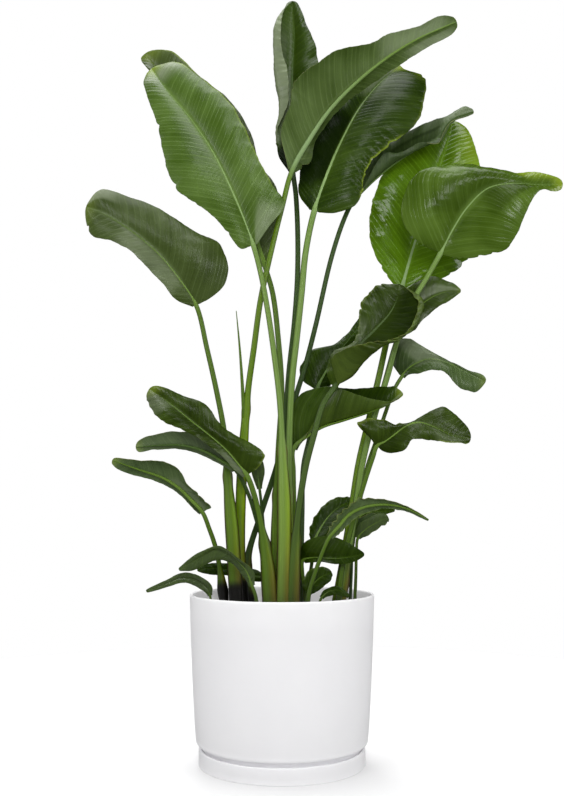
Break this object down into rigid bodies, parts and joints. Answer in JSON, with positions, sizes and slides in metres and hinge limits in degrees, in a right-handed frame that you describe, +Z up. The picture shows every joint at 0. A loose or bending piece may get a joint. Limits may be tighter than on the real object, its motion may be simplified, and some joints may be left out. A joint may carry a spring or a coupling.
{
  "type": "potted bird of paradise",
  "caption": "Potted bird of paradise with paddle leaves on long arching stalks, standing in soil in a tapered round white pot that rests on a drip saucer.",
  "frame": {"origin": "middle of the flat underside of the saucer, on the pot's axis", "axes": "+Z up along the pot's axis, +X to the right as the picture shows the plant, -Y towards the viewer"},
  "size_m": [0.9937, 0.3798, 1.6996],
  "materials": {
    "saucer": "matte",
    "pot": "matte",
    "soil": "matte",
    "leaf": "satin"
  },
  "bodies": {
    "root": {"saucer": "saucer", "pot": "pot", "soil": "soil", "leaf_01": "leaf", "leaf_02": "leaf", "leaf_03": "leaf", "leaf_04": "leaf", "leaf_05": "leaf", "leaf_06": "leaf", "leaf_07": "leaf", "leaf_08": "leaf", "leaf_09": "leaf", "leaf_10": "leaf", "leaf_11": "leaf", "leaf_12": "leaf", "leaf_13": "leaf", "leaf_14": "leaf", "leaf_15": "leaf", "leaf_16": "leaf", "leaf_17": "leaf", "leaf_18": "leaf", "leaf_19": "leaf", "leaf_20": "leaf", "leaf_21": "leaf", "leaf_22": "leaf", "leaf_23": "leaf", "leaf_24": "leaf", "leaf_25": "leaf", "leaf_26": "leaf", "leaf_27": "leaf", "leaf_28": "leaf", "leaf_29": "leaf", "leaf_30": "leaf"}
  },
  "joints": []
}
